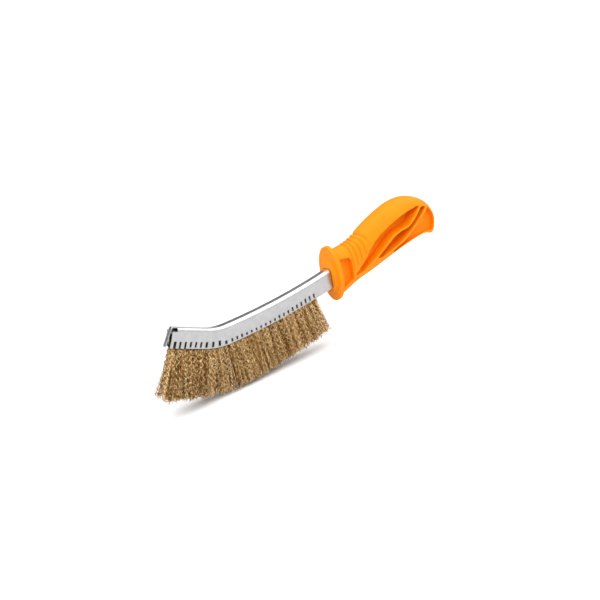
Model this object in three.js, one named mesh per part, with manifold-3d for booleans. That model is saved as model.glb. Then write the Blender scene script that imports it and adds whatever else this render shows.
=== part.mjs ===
// A hand wire brush: a moulded plastic handle, a bent steel channel with crimped edges, a core wire
// and the bundles of crimped brass-coated wire that the channel holds.
//
// Units are millimetres. +X runs from the guard towards the tail of the handle, +Z is up, away from
// the wire tips, and the plane Y = 0 is the plane of symmetry. The pieces are drawn with the middle of
// the guard's front face near the origin, and the finished brush is then stood on its tips.

import * as THREE from "three";
import { mergeVertices } from "three/addons/utils/BufferGeometryUtils.js";
import Module from "manifold-3d";

const wasm = await Module();
wasm.setup();

// ---- driving dimensions -------------------------------------------------------------------------

const fitGap = 0.3; // clearance between separate pieces

const channelWidth = 10;
const channelHeight = 15.8;
const channelTop = 2.5; // height of the channel's top at the guard, above the middle of the front face
const cornerRadius = 3; // outside radius of the channel's two upper corners
const sheet = 0.8; // thickness of the channel's steel strip
const channelLength = 152.3; // along the top, from the front end to the guard
const noseLength = 37.5; // from the front end to the middle of the bend
const bendAngle = 22.5; // degrees, front end turned up
const bendSpread = 18; // length over which the bend is made
const curvature = 0.1; // degrees of rise per millimetre behind the bend
const entryAngle = 10.5; // degrees, direction of the channel where it enters the guard
const tabLean = 12; // degrees that the front tab leans outwards
const tabWidth = 4.4;
const tabLength = 16.4;
const reliefLength = 4.2; // notch in the upper corners behind the tab's fold

const crimpCount = 29;
const crimpPitch = 4.44;
const crimpSlotWidth = 1.3;
const crimpSlotHeight = 4.4;
const crimpEdge = 0.9; // strip left below each slot
const firstBundle = 1.1; // from the front end to the first bundle

const coreRadius = 1.3;
const coreStart = 1.5; // from the front end
const coreEndReach = 4; // past the last bundle
const coreDepth = 4.4; // from the top of the channel to the middle of the core wire

const trimFront = 39.7; // wire showing below the channel at its front end
const trimHeel = 30; // and at the heel
const rootHalfWidth = 3.6;
const crownHalfWidth = 1.6; // top of a bundle, above the core wire
const mouthHalfWidth = 5.2; // a little way below the channel
const mouthDepth = 6;
const tipBevel = 2;
const tipHalfWidth = 9;
const noseSplay = -2; // degrees that the first bundle leans forward of square
const heelSplay = -3.5; // degrees that the last bundle leans back of square
const splayBundles = 5; // bundles at each end that share the lean

const tangLength = 24;
const tangWidth = 5.2;
const tangHeight = 9;
const tangDrop = 1.5; // from the guard's datum down to the tang

const guardThickness = 4;
const guardHalfWidth = 14.5;
const guardHalfHeight = 24.2;
const guardMiddle = -3.4; // height of the guard's middle
const collarHalfWidth = 10.4;
const collarHalfHeight = 14.2;
const collarMiddle = -5.6;
const collarRise = 2.4;

const webHalf = 1.7; // half thickness of the handle's central web
const neckHalf = 4.4; // half thickness of the core around the tang
const neckEnd = 29; // the core is thick up to here
const tailHalf = 5; // half thickness behind the last rib
const tailStart = 60;

const grooveCount = 5;
const grooveFirst = 17.4; // where the first groove crosses the crown
const groovePitch = 3.7;
const grooveWidth = 1.7;
const grooveDepth = 1.6;
const grooveBow = 5.5; // how far the last groove's sides lie behind its middle
const grooveBowHalf = 11; // half width over which the bow is measured
const grooveReach = 14; // half length of a groove across the neck
const grooveLowest = -6; // height where the first groove ends
const grooveClimb = 3.2; // and how much higher each of the next ones ends
const clearWidth = 40; // wider than the handle
const clearHeight = 60; // taller than half the handle
const clearLength = 130; // longer than the handle

// Each row is one section of the handle: its highest and lowest point in side view, and its half width.
const gripSections = [
  { crown: [3, 15.5], belly: [3, -23.5], half: 10.5 },
  { crown: [14, 16.8], belly: [13, -20], half: 10.5 },
  { crown: [28, 20], belly: [24, -16.2], half: 11 },
  { crown: [45, 28], belly: [38, -13.2], half: 12 },
  { crown: [60, 33.6], belly: [54, -9], half: 13.3 },
  { crown: [75, 37.6], belly: [72, -4.6], half: 14 },
  { crown: [88, 38.2], belly: [87, -1.8], half: 14 },
  { crown: [100, 35.2], belly: [99, -0.2], half: 13.4 },
  { crown: [110.4, 28.6], belly: [107, -0.8], half: 12 },
  { crown: [116.6, 20], belly: [112, -2.8], half: 10 },
  { crown: [118, 13], belly: [114, -2.4], half: 8.4 },
];

// ---- colours ------------------------------------------------------------------------------------

const orangePlastic = { color: 0xf79a18, roughness: 0.45, metalness: 0 };
const brightPlating = { color: 0xc9cbcd, roughness: 0.22, metalness: 1 };
const plainSteel = { color: 0x8d8f91, roughness: 0.4, metalness: 1 };
const brassWire = { color: 0xb98f55, roughness: 0.42, metalness: 0.8 };

// ---- solids -------------------------------------------------------------------------------------

function toSolid(geometry) {
  const bare = geometry.clone();
  bare.deleteAttribute("normal");
  bare.deleteAttribute("uv");
  const merged = mergeVertices(bare, 1e-4);
  return new wasm.Manifold(
    new wasm.Mesh({
      numProp: 3,
      vertProperties: new Float32Array(merged.attributes.position.array),
      triVerts: new Uint32Array(merged.index.array),
    }),
  );
}

function toGeometry(solid) {
  const mesh = solid.getMesh();
  const geometry = new THREE.BufferGeometry();
  geometry.setAttribute("position", new THREE.BufferAttribute(mesh.vertProperties, 3));
  geometry.setIndex(new THREE.BufferAttribute(mesh.triVerts, 1));
  return geometry;
}

// A closed body from rings of points, listed ring by ring.
function closedLoft(corners, rings, around) {
  const faces = [];
  for (let ring = 0; ring < rings; ring += 1) {
    for (let step = 0; step < around; step += 1) {
      const a = ring * around + step;
      const b = ring * around + ((step + 1) % around);
      faces.push(a, b + around, b, a, a + around, b + around);
    }
  }
  for (let step = 1; step < around - 1; step += 1) {
    const end = rings * around;
    faces.push(0, step, step + 1);
    faces.push(end, end + step + 1, end + step);
  }
  const geometry = new THREE.BufferGeometry();
  geometry.setAttribute("position", new THREE.Float32BufferAttribute(corners, 3));
  geometry.setIndex(faces);
  return toSolid(geometry);
}

function joined(solids) {
  return solids.reduce((whole, solid) => whole.add(solid));
}

// A side-view outline, given as [x, z] points, made into a slab of the given width about Y = 0.
function sideSlab(points, width) {
  const shape = new THREE.Shape(points.map(([x, z]) => new THREE.Vector2(x, z)));
  const geometry = new THREE.ExtrudeGeometry(shape, { depth: width, bevelEnabled: false });
  geometry.rotateX(Math.PI / 2);
  geometry.translate(0, width / 2, 0);
  return toSolid(geometry);
}

// A box that starts at a point of the side view and runs along a direction, centred on Y = 0.
// The box hangs below the line from its start, as the channel hangs below its top.
function boxAlong(start, angle, length, width, height) {
  const geometry = new THREE.BoxGeometry(length, width, height);
  geometry.translate(length / 2, 0, -height / 2);
  geometry.rotateY(-angle);
  geometry.translate(start.x, 0, start.y);
  return toSolid(geometry);
}

// A smooth side-view curve through a few points.
function smoothLine(points, steps) {
  const curve = new THREE.SplineCurve(points.map(([x, z]) => new THREE.Vector2(x, z)));
  return curve.getPoints(steps).map((point) => [point.x, point.y]);
}

// ---- the line of the channel's top ----------------------------------------------------------------

// Direction of the channel's top at a distance from its front end, in radians above +X.
function railAngle(distance) {
  const bendShare = THREE.MathUtils.clamp((distance - noseLength) / bendSpread + 0.5, 0, 1);
  const rise = curvature * Math.max(distance - noseLength, 0);
  const fullRise = curvature * (channelLength - noseLength);
  const degrees = entryAngle - fullRise + rise - bendAngle * (1 - bendShare);
  return THREE.MathUtils.degToRad(degrees);
}

// The line is walked once, in fine steps, from the guard at the origin back to the front end.
const cornerSteps = 5;
const railStep = 0.1;
const railPoints = [new THREE.Vector2(0, channelTop)];
for (let index = 0; index < channelLength / railStep; index += 1) {
  const angle = railAngle(channelLength - (index + 0.5) * railStep);
  const last = railPoints[index];
  railPoints.push(
    new THREE.Vector2(last.x - railStep * Math.cos(angle), last.y - railStep * Math.sin(angle)),
  );
}

// Point on the channel's top, or the given depth below it, square to the line.
function railPoint(distance, depth = 0) {
  const back = (channelLength - distance) / railStep;
  const index = THREE.MathUtils.clamp(Math.floor(back), 0, railPoints.length - 2);
  const point = railPoints[index].clone().lerp(railPoints[index + 1], back - index);
  const angle = railAngle(distance);
  return new THREE.Vector2(point.x + depth * Math.sin(angle), point.y - depth * Math.cos(angle));
}

// Outline of the channel's section as [y, depth] points, drawn in by an inset and closed at a depth.
function sectionOutline(inset, bottom) {
  const half = channelWidth / 2 - inset;
  const radius = cornerRadius - inset;
  const corner = Array.from({ length: cornerSteps + 1 }, (_, step) => {
    const turn = (Math.PI / 2) * (step / cornerSteps);
    return [half - radius + radius * Math.cos(turn), inset + radius - radius * Math.sin(turn)];
  });
  const right = [[half, bottom], ...corner];
  return [...right, ...right.map(([y, depth]) => [-y, depth]).reverse()];
}

// The section carried along the channel's top from one distance to another.
function railLoft(start, end, rings, inset, bottom) {
  const outline = sectionOutline(inset, bottom).reverse();
  const around = outline.length;
  const corners = [];
  for (let ring = 0; ring <= rings; ring += 1) {
    const distance = start + ((end - start) * ring) / rings;
    for (const [y, depth] of outline) {
      const point = railPoint(distance, depth);
      corners.push(point.x, y, point.y);
    }
  }
  return closedLoft(corners, rings, around);
}

// ---- channel ------------------------------------------------------------------------------------

const guardDepth = 3; // how far the full section of the channel enters the guard
const closedEnd = 1; // thickness of the plate that closes the channel inside the guard
const tangOverlap = 0.5; // the tang grows from inside that plate
const entryReach = 6; // length of the opening in front of the guard's face
const cutOver = 1; // cutting bodies reach this far past what they cut
const railRings = 44;
const entry = THREE.MathUtils.degToRad(entryAngle);
const tangReach = guardDepth - tangOverlap;
const tangStart = new THREE.Vector2(tangReach * Math.cos(entry), tangReach * Math.sin(entry));

function tangSolid(allowance) {
  const start = tangStart.clone();
  start.x += tangDrop * Math.sin(entry);
  start.y += (allowance - tangDrop) * Math.cos(entry);
  const width = tangWidth + 2 * allowance;
  return boxAlong(start, entry, tangLength + allowance, width, tangHeight + 2 * allowance);
}

// The channel's section from in front of the guard to its closed end, with room around it.
function channelEntry(allowance) {
  const end = channelLength + guardDepth + allowance;
  return railLoft(channelLength - entryReach, end, 4, -allowance, channelHeight + allowance);
}

// The front of the channel is held by a narrow tab folded down from its top.
function endTab() {
  const lean = railAngle(0) - Math.PI / 2 - THREE.MathUtils.degToRad(tabLean);
  return boxAlong(railPoint(sheet), lean, tabLength, tabWidth, sheet);
}

// The upper corners are notched behind the fold.
function cornerRelief() {
  const start = railPoint(-cutOver, -cutOver);
  const length = reliefLength + cutOver;
  const wide = boxAlong(start, railAngle(0), length, channelWidth + 2 * cutOver, cornerRadius + cutOver);
  return wide.subtract(boxAlong(start, railAngle(0), length, tabWidth, cornerRadius + cutOver));
}

function crimpSlot(index) {
  const distance = firstBundle + crimpPitch * (index + 0.5);
  const lower = channelHeight - crimpEdge;
  const start = railPoint(distance - crimpSlotWidth / 2, lower - crimpSlotHeight);
  const width = channelWidth + 2 * cutOver;
  return boxAlong(start, railAngle(distance), crimpSlotWidth, width, crimpSlotHeight);
}

function makeChannel() {
  const end = channelLength + guardDepth;
  const outside = railLoft(0, end, railRings, 0, channelHeight);
  const inside = railLoft(-cutOver, end - closedEnd, railRings, sheet, channelHeight + cutOver);
  const slots = Array.from({ length: crimpCount }, (_, index) => crimpSlot(index));
  const body = outside.subtract(inside).subtract(joined([...slots, cornerRelief()]));
  return joined([body, endTab(), tangSolid(0)]);
}

// ---- core wire ------------------------------------------------------------------------------------

function makeCoreWire() {
  const first = coreStart;
  const last = firstBundle + crimpPitch * crimpCount + coreEndReach;
  const steps = 40;
  const points = Array.from({ length: steps + 1 }, (_, index) => {
    const point = railPoint(first + ((last - first) * index) / steps, coreDepth);
    return new THREE.Vector3(point.x, 0, point.y);
  });
  const section = new THREE.Shape();
  section.absarc(0, 0, coreRadius, 0, 2 * Math.PI);
  const geometry = new THREE.ExtrudeGeometry(section, {
    steps,
    curveSegments: 5,
    extrudePath: new THREE.CatmullRomCurve3(points),
  });
  return toSolid(geometry);
}

// ---- wire bundles ---------------------------------------------------------------------------------

// The lean of a bundle's wires away from square, in radians, positive towards the front.
function bundleLean(index) {
  const fromFront = Math.max(1 - index / splayBundles, 0) ** 2;
  const fromHeel = Math.max(1 - (crimpCount - index) / splayBundles, 0) ** 2;
  return THREE.MathUtils.degToRad(noseSplay * fromFront - heelSplay * fromHeel);
}

// Half section of a bundle: narrow inside the channel, spreading below it to the trimmed tips.
function bundleSection(trimLength) {
  const top = sheet + fitGap;
  const tip = channelHeight + trimLength;
  const half = [
    [crownHalfWidth, top],
    [rootHalfWidth, coreDepth],
    [rootHalfWidth, channelHeight],
    [mouthHalfWidth, channelHeight + mouthDepth],
    [tipHalfWidth, tip - tipBevel],
    [tipHalfWidth - tipBevel, tip],
  ];
  const mirrored = half.map(([y, depth]) => [-y, depth]).reverse();
  const section = new THREE.Shape([...half, ...mirrored].map((p) => new THREE.Vector2(...p)));
  const hole = new THREE.Path();
  hole.absarc(0, coreDepth, coreRadius + fitGap, 0, 2 * Math.PI);
  section.holes.push(hole);
  return section;
}

// The section is drawn in Y and depth, and then bent to lie square below the channel's top.
function makeBundle(index) {
  const trimLength = THREE.MathUtils.lerp(trimFront, trimHeel, (index + 0.5) / crimpCount);
  const geometry = new THREE.ExtrudeGeometry(bundleSection(trimLength), {
    depth: 1,
    bevelEnabled: false,
    curveSegments: 5,
  });
  const position = geometry.attributes.position;
  for (let vertex = 0; vertex < position.count; vertex += 1) {
    const along = position.getZ(vertex);
    const depth = position.getY(vertex);
    const distance = firstBundle + crimpPitch * (index + along) + fitGap * (0.5 - along);
    const free = Math.max(depth - channelHeight, 0);
    const lean = bundleLean(index + along);
    const angle = railAngle(distance) - lean;
    const root = railPoint(distance, Math.min(depth, channelHeight));
    const z = root.y - free * Math.cos(angle);
    position.setXYZ(vertex, root.x + free * Math.sin(angle), -position.getX(vertex), z);
  }
  return toSolid(geometry);
}

// ---- handle ---------------------------------------------------------------------------------------

// One section of the grip: a round back above and a flatter belly below, in the plane through its
// highest and lowest points.
function gripRing(crown, belly, half, inset, count) {
  const up = new THREE.Vector2().subVectors(crown, belly);
  const height = up.length();
  up.normalize();
  const middle = belly.clone().addScaledVector(up, height / 2);
  return Array.from({ length: count }, (_, index) => {
    const turn = (2 * Math.PI * index) / count;
    const side = Math.sin(turn);
    const rise = Math.cos(turn);
    const power = rise > 0 ? 0.78 : 0.42;
    const y = (half - inset) * Math.sign(side) * Math.abs(side) ** power;
    const lift = (height / 2 - inset) * Math.sign(rise) * Math.abs(rise) ** 0.8;
    return [middle.x + up.x * lift, y, middle.y + up.y * lift];
  });
}

function gripBody(inset) {
  const crownLine = new THREE.SplineCurve(gripSections.map((s) => new THREE.Vector2(...s.crown)));
  const bellyLine = new THREE.SplineCurve(gripSections.map((s) => new THREE.Vector2(...s.belly)));
  const halfLine = new THREE.SplineCurve(gripSections.map((s, i) => new THREE.Vector2(i, s.half)));
  const rings = 44;
  const around = 36;
  const corners = [];
  for (let ring = 0; ring <= rings; ring += 1) {
    const t = ring / rings;
    const half = halfLine.getPoint(t).y;
    corners.push(...gripRing(crownLine.getPoint(t), bellyLine.getPoint(t), half, inset, around));
  }
  return closedLoft(corners.flat(), rings, around);
}

function ovalPlate(halfWidth, halfHeight, middle, from, to) {
  const shape = new THREE.Shape();
  shape.absellipse(0, middle, halfWidth, halfHeight, 0, 2 * Math.PI);
  const geometry = new THREE.ExtrudeGeometry(shape, {
    depth: to - from,
    bevelEnabled: false,
    curveSegments: 28,
  });
  geometry.rotateX(Math.PI / 2);
  geometry.rotateZ(Math.PI / 2);
  geometry.translate(from, 0, 0);
  return toSolid(geometry);
}

// Lower edge of the smooth back, from beside the neck up to the tail.
const backEdge = [[18.5, -10.5], [30, -1], [39, 7.8], [47.5, 14.8], [62, 21.5], [78, 26.4], [95, 28.6]];
// Edges of the two curved ribs, from the belly up to the tail.
const upperRib = [[29, -10.5], [43, -2.4], [54, 4.8], [63, 10.6], [72, 13.6], [83, 15.6], [99, 27.2]];
const lowerRib = [[51, -4.6], [62, -1], [72, 2.4], [80, 6.6], [94, 15.6], [107.5, 24.6]];
const ribThickness = 2;

function lifted(line, rise) {
  return line.map(([x, z]) => [x - rise * 0.5, z + rise * 0.86]);
}

// The open spaces in the handle's sides, between the back, the ribs and the belly.
function sideRecesses() {
  const steps = 18;
  const upper = sideSlab(
    [...smoothLine(backEdge, steps), ...smoothLine(lifted(upperRib, ribThickness / 2), steps).reverse()],
    clearWidth,
  );
  const lower = sideSlab(
    [
      ...smoothLine(lifted(upperRib, -ribThickness / 2).slice(1), steps),
      ...smoothLine(lifted(lowerRib, ribThickness / 2), steps).reverse(),
    ],
    clearWidth,
  );
  return { upper, lower };
}

function tailRecess() {
  const steps = 16;
  const rim = [[108.6, 23.4], [113.4, 16], [114, 8], [111.2, 1.2]];
  const belly = [[104, 2.4], [92, 1.6], [78, -0.8], [64, -4]];
  const rib = smoothLine(lifted(lowerRib, -ribThickness / 2).slice(1), steps);
  return sideSlab([...rib, ...smoothLine(rim, steps), ...smoothLine(belly, steps)], clearWidth);
}

function neckPocket() {
  const outline = [[guardThickness, 8.4], [15.4, 7.4], [17.4, 4.6], [17.4, -12], [guardThickness, -17.5]];
  return sideSlab(outline, clearWidth);
}

function coreSlab(from, to, half) {
  const outline = [[from, -clearHeight], [to, -clearHeight], [to, clearHeight], [from, clearHeight]];
  return sideSlab(outline, 2 * half);
}

// Shallow finger grooves that run over the back of the neck and down its sides.
function neckGrooves() {
  const strips = Array.from({ length: grooveCount }, (_, index) => {
    const middle = grooveFirst + groovePitch * index;
    const bow = grooveBow * (0.25 + (0.75 * index) / (grooveCount - 1));
    const sides = Array.from({ length: 13 }, (_, i) => grooveReach * (i / 6 - 1));
    const edge = (offset) =>
      sides.map((y) => {
        const share = Math.min((y / grooveBowHalf) ** 2, 1.2);
        return new THREE.Vector2(middle + offset + bow * share, y);
      });
    const outline = [...edge(-grooveWidth / 2), ...edge(grooveWidth / 2).reverse()];
    const geometry = new THREE.ExtrudeGeometry(new THREE.Shape(outline), {
      depth: clearHeight,
      bevelEnabled: false,
    });
    geometry.translate(0, 0, grooveLowest + grooveClimb * index);
    return toSolid(geometry);
  });
  return joined(strips).subtract(gripBody(grooveDepth));
}

function makeHandle() {
  const neckCore = coreSlab(0, neckEnd, neckHalf);
  const web = coreSlab(0, clearLength, webHalf);
  const tailCore = coreSlab(tailStart, clearLength, tailHalf);
  const { upper, lower } = sideRecesses();
  const recesses = joined([upper, lower, neckPocket()]).subtract(neckCore).subtract(web);
  const grip = gripBody(0)
    .subtract(recesses)
    .subtract(tailRecess().subtract(tailCore))
    .subtract(neckGrooves());
  const guard = ovalPlate(guardHalfWidth, guardHalfHeight, guardMiddle, 0, guardThickness);
  const collar = ovalPlate(collarHalfWidth, collarHalfHeight, collarMiddle, -collarRise, 0.5);
  return joined([grip, guard, collar]).subtract(channelEntry(fitGap)).subtract(tangSolid(fitGap));
}

// ---- the brush ------------------------------------------------------------------------------------

const brush = new THREE.Group();

function addPiece(name, solid, finish) {
  const mesh = new THREE.Mesh(toGeometry(solid), new THREE.MeshStandardMaterial(finish));
  mesh.name = name;
  brush.add(mesh);
}

addPiece("handle", makeHandle(), orangePlastic);
addPiece("channel", makeChannel(), brightPlating);
addPiece("core_wire", makeCoreWire(), plainSteel);
for (let index = 0; index < crimpCount; index += 1) {
  addPiece(`wire_bundle_${String(index + 1).padStart(2, "0")}`, makeBundle(index), brassWire);
}

// Stood on its lowest point, with the middle of its length at the origin.
const extent = new THREE.Box3().setFromObject(brush);
const middle = extent.getCenter(new THREE.Vector3());
brush.position.set(-middle.x, -middle.y, -extent.min.z);

export default brush;
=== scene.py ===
import math

import bmesh
import bpy
import numpy as np
from mathutils import Matrix, Vector


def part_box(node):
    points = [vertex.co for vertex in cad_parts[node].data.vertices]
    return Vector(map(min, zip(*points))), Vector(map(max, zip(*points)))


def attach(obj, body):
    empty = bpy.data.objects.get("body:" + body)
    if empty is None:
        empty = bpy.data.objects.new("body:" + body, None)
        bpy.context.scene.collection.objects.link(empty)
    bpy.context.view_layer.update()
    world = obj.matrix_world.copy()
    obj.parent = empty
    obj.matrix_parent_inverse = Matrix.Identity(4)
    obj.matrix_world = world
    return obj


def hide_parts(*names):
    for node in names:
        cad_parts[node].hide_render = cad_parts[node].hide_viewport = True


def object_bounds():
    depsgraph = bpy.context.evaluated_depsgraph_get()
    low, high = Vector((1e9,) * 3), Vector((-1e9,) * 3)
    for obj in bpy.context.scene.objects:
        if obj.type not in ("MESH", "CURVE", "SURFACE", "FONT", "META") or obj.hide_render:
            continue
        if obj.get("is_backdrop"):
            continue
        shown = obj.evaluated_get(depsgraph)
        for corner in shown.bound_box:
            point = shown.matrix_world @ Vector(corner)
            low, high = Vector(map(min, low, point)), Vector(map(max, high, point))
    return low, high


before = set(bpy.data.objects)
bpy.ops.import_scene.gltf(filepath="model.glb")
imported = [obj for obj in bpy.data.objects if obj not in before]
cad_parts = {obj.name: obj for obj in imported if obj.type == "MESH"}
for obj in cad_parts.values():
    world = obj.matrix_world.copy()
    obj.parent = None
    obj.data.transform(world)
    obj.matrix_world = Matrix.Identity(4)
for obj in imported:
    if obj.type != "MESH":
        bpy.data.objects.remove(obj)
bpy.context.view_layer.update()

mm = 0.001
print("frame loaded:", len(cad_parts), "nodes")

# Everything is drawn in millimetres from the middle of the guard's front face, and then placed.
collarRise = 2.4
guardBelow = 27.6  # from that middle down to the bottom of the guard
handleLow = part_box("handle")[0]
guardFace = Vector((handleLow.x + collarRise * mm, 0.0, handleLow.z + guardBelow * mm))


def placed(points):
    return np.asarray(points, float) * mm + np.array(guardFace)


def addObject(name, mesh):
    thing = bpy.data.objects.new(name, mesh)
    bpy.context.scene.collection.objects.link(thing)
    return thing


def smoothShading(mesh):
    mesh.polygons.foreach_set("use_smooth", [True] * len(mesh.polygons))
    mesh.update()


camera = {
    "turn": -33.89,  # degrees about the vertical
    "rise": 18.91,  # degrees above the horizon
    "roll": -10.63,
    "distance": 0.7163,  # metres from the guard
    "lens": 51.3,
    "shift": (-0.0485, -0.0496),
    "sensor": 36,
    "nearest": 0.01,
}


def makeCamera():
    turn, rise, roll = (math.radians(camera[key]) for key in ("turn", "rise", "roll"))
    level = Vector((math.cos(turn), math.sin(turn), 0))
    back = Vector((math.sin(turn) * math.cos(rise), -math.cos(turn) * math.cos(rise), math.sin(rise)))
    upright = back.cross(level)
    right = level * math.cos(roll) + upright * math.sin(roll)
    up = upright * math.cos(roll) - level * math.sin(roll)
    data = bpy.data.cameras.new("studioCamera")
    data.sensor_width = camera["sensor"]
    data.lens = camera["lens"]
    data.shift_x, data.shift_y = camera["shift"]
    data.clip_start = camera["nearest"]
    thing = addObject("studioCamera", data)
    turned = Matrix((right, up, back)).transposed().to_4x4()
    turned.translation = guardFace + back * camera["distance"]
    thing.matrix_world = turned
    bpy.context.scene.camera = thing


studio = {
    # in metres
    "strength": 1.92,
    # brightness of the sky by height, from the horizon (0) to overhead (1)
    "frontSky": [(0.0, 0.34), (0.38, 0.50), (0.60, 0.95), (1.0, 1.0)],
    "backSky": [(0.0, 0.03), (0.60, 0.04), (0.72, 0.95), (1.0, 1.0)],
    "away": (0.0, 1.0, 0.0),  # the side where the studio is dark near the horizon
    "awayRange": (0.42, 0.62),  # where the front sky gives way to the dark side
    "softboxes": [
        # place, aim, size, power
        ((-0.75, -0.55, 0.85), (0.02, 0.0, 0.05), 0.9, 2.8),
        ((0.45, -0.75, 0.75), (0.05, 0.0, 0.06), 0.6, 1.2),
    ],
    "floorFlat": 4.6,  # radius of the level part
    "floorRadius": 7.2,
    "floorRim": 0.95,  # height of the rim
    "rimCurve": 2.2,
    "floorTurns": 96,
}


def makeSoftbox(name, place, aim, size, power):
    data = bpy.data.lights.new(name, "AREA")
    data.size = size
    data.energy = power
    thing = addObject(name, data)
    thing.location = place
    thing.rotation_euler = (Vector(aim) - Vector(place)).to_track_quat("-Z", "Y").to_euler()


def skyRamp(tree, height, stops):
    ramp = tree.nodes.new("ShaderNodeValToRGB")
    elements = ramp.color_ramp.elements
    while len(elements) < len(stops):
        elements.new(0.5)
    for element, (position, level) in zip(elements, stops):
        element.position = position
        element.color = (level, level, level, 1)
    tree.links.new(height, ramp.inputs[0])
    return ramp.outputs["Color"]


def makeSky():
    world = bpy.data.worlds.new("studioSky")
    bpy.context.scene.world = world
    world.use_nodes = True
    tree = world.node_tree
    tree.nodes.clear()
    direction = tree.nodes.new("ShaderNodeTexCoord").outputs["Generated"]
    split = tree.nodes.new("ShaderNodeSeparateXYZ")
    tree.links.new(direction, split.inputs[0])
    away = tree.nodes.new("ShaderNodeVectorMath")
    away.operation = "DOT_PRODUCT"
    away.inputs[1].default_value = studio["away"]
    tree.links.new(direction, away.inputs[0])
    share = rangeNode(tree, away.outputs["Value"], *studio["awayRange"], 0.0, 1.0)
    front = skyRamp(tree, split.outputs["Z"], studio["frontSky"])
    behind = skyRamp(tree, split.outputs["Z"], studio["backSky"])
    background = tree.nodes.new("ShaderNodeBackground")
    background.inputs["Strength"].default_value = studio["strength"]
    output = tree.nodes.new("ShaderNodeOutputWorld")
    tree.links.new(mixColour(tree, share, front, behind), background.inputs["Color"])
    tree.links.new(background.outputs[0], output.inputs[0])


def makeFloor(height):
    # a round floor whose rim curves up
    flat, radius, rim = studio["floorFlat"], studio["floorRadius"], studio["floorRim"]
    turns = np.arange(studio["floorTurns"]) * 2 * math.pi / studio["floorTurns"]
    rings = [(share * flat, 0.0) for share in np.linspace(0.05, 1, 8)]
    for share in np.linspace(0, 1, 17)[1:]:
        rings.append((flat + (radius - flat) * share, rim * share ** studio["rimCurve"]))
    work = bmesh.new()
    rows = [[work.verts.new((r * math.cos(a), r * math.sin(a), z)) for a in turns] for r, z in rings]
    work.faces.new(rows[0])
    for inner, outer in zip(rows, rows[1:]):
        for i in range(len(turns)):
            j = (i + 1) % len(turns)
            work.faces.new((inner[i], outer[i], outer[j], inner[j]))
    mesh = bpy.data.meshes.new("floor")
    work.to_mesh(mesh)
    work.free()
    smoothShading(mesh)
    floor = addObject("floor", mesh)
    floor.location.z = height
    floor.data.materials.append(makeFloorPaint())
    floor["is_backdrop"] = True


# the line of the channel's top
rail = {
    "length": 152.3,  # from the front end to the guard
    "nose": 37.5,  # from the front end to the middle of the bend
    "bend": 22.5,  # degrees that the nose is turned up
    "spread": 18.0,  # length of the bend
    "curvature": 0.1,  # degrees for each millimetre behind the bend
    "entry": 10.5,  # degrees of rise at the guard
    "top": 2.5,  # height at the guard
    "step": 0.1,
}


def railAngle(distance):
    share = np.clip((distance - rail["nose"]) / rail["spread"] + 0.5, 0, 1)
    behind = np.maximum(distance - rail["nose"], 0) - (rail["length"] - rail["nose"])
    return np.radians(rail["entry"] + rail["curvature"] * behind - rail["bend"] * (1 - share))


def walkRail():
    back = np.arange(0, rail["length"] + rail["step"], rail["step"])
    angles = railAngle(rail["length"] - (back[:-1] + rail["step"] / 2))
    x = np.concatenate([[0], np.cumsum(-rail["step"] * np.cos(angles))])
    z = rail["top"] + np.concatenate([[0], np.cumsum(-rail["step"] * np.sin(angles))])
    return (rail["length"] - back)[::-1], x[::-1], z[::-1]


walkDistance, walkX, walkZ = walkRail()


def railPoint(distance, depth):
    # a point the given depth below the channel's top; beyond the ends the line runs straight on
    inside = np.clip(distance, 0, rail["length"])
    angle = railAngle(inside)
    beyond = distance - inside
    x = np.interp(inside, walkDistance, walkX) + beyond * np.cos(angle) + depth * np.sin(angle)
    z = np.interp(inside, walkDistance, walkZ) + beyond * np.sin(angle) - depth * np.cos(angle)
    return x, z


def newGroup(name, inputs, outputs):
    group = bpy.data.node_groups.new(name, "ShaderNodeTree")
    for label, value in inputs.items():
        kind = "NodeSocketVector" if value is None else "NodeSocketFloat"
        socket = group.interface.new_socket(name=label, in_out="INPUT", socket_type=kind)
        if value is not None:
            socket.default_value = value
    for label in outputs:
        group.interface.new_socket(name=label, in_out="OUTPUT", socket_type="NodeSocketFloat")
    return group, group.nodes.new("NodeGroupInput"), group.nodes.new("NodeGroupOutput")


def feed(tree, socket, value):
    # a number or a colour is set on the socket, and anything else is linked to it
    if isinstance(value, tuple):
        socket.default_value = (*value, 1)
    elif isinstance(value, (int, float)):
        socket.default_value = value
    else:
        tree.links.new(value, socket)


def mathNode(tree, operation, *values, clamp=False):
    node = tree.nodes.new("ShaderNodeMath")
    node.operation = operation
    node.use_clamp = clamp
    for socket, value in zip(node.inputs, values):
        feed(tree, socket, value)
    return node.outputs[0]


def rangeNode(tree, value, *limits):
    # the limits are two that it comes from and two that it goes to
    node = tree.nodes.new("ShaderNodeMapRange")
    for label, number in zip(("Value", "From Min", "From Max", "To Min", "To Max"), (value, *limits)):
        feed(tree, node.inputs[label], number)
    return node.outputs["Result"]


def noiseNode(tree, vector, scale, detail, roughness=0.55):
    node = tree.nodes.new("ShaderNodeTexNoise")
    settings = {"Vector": vector, "Scale": scale, "Detail": detail, "Roughness": roughness}
    for label, value in settings.items():
        feed(tree, node.inputs[label], value)
    return node.outputs["Fac"]


def makeCloudGroup():
    # slow unevenness of a surface: Value swings between Low and High
    group, source, result = newGroup(
        "unevenness", {"Vector": None, "Scale": 60.0, "Low": 0.0, "High": 1.0}, ["Value"])
    cloud = noiseNode(group, source.outputs["Vector"], source.outputs["Scale"], 4.0)
    spread = rangeNode(group, cloud, 0.3, 0.7, source.outputs["Low"], source.outputs["High"])
    group.links.new(spread, result.inputs["Value"])
    return group


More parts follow.
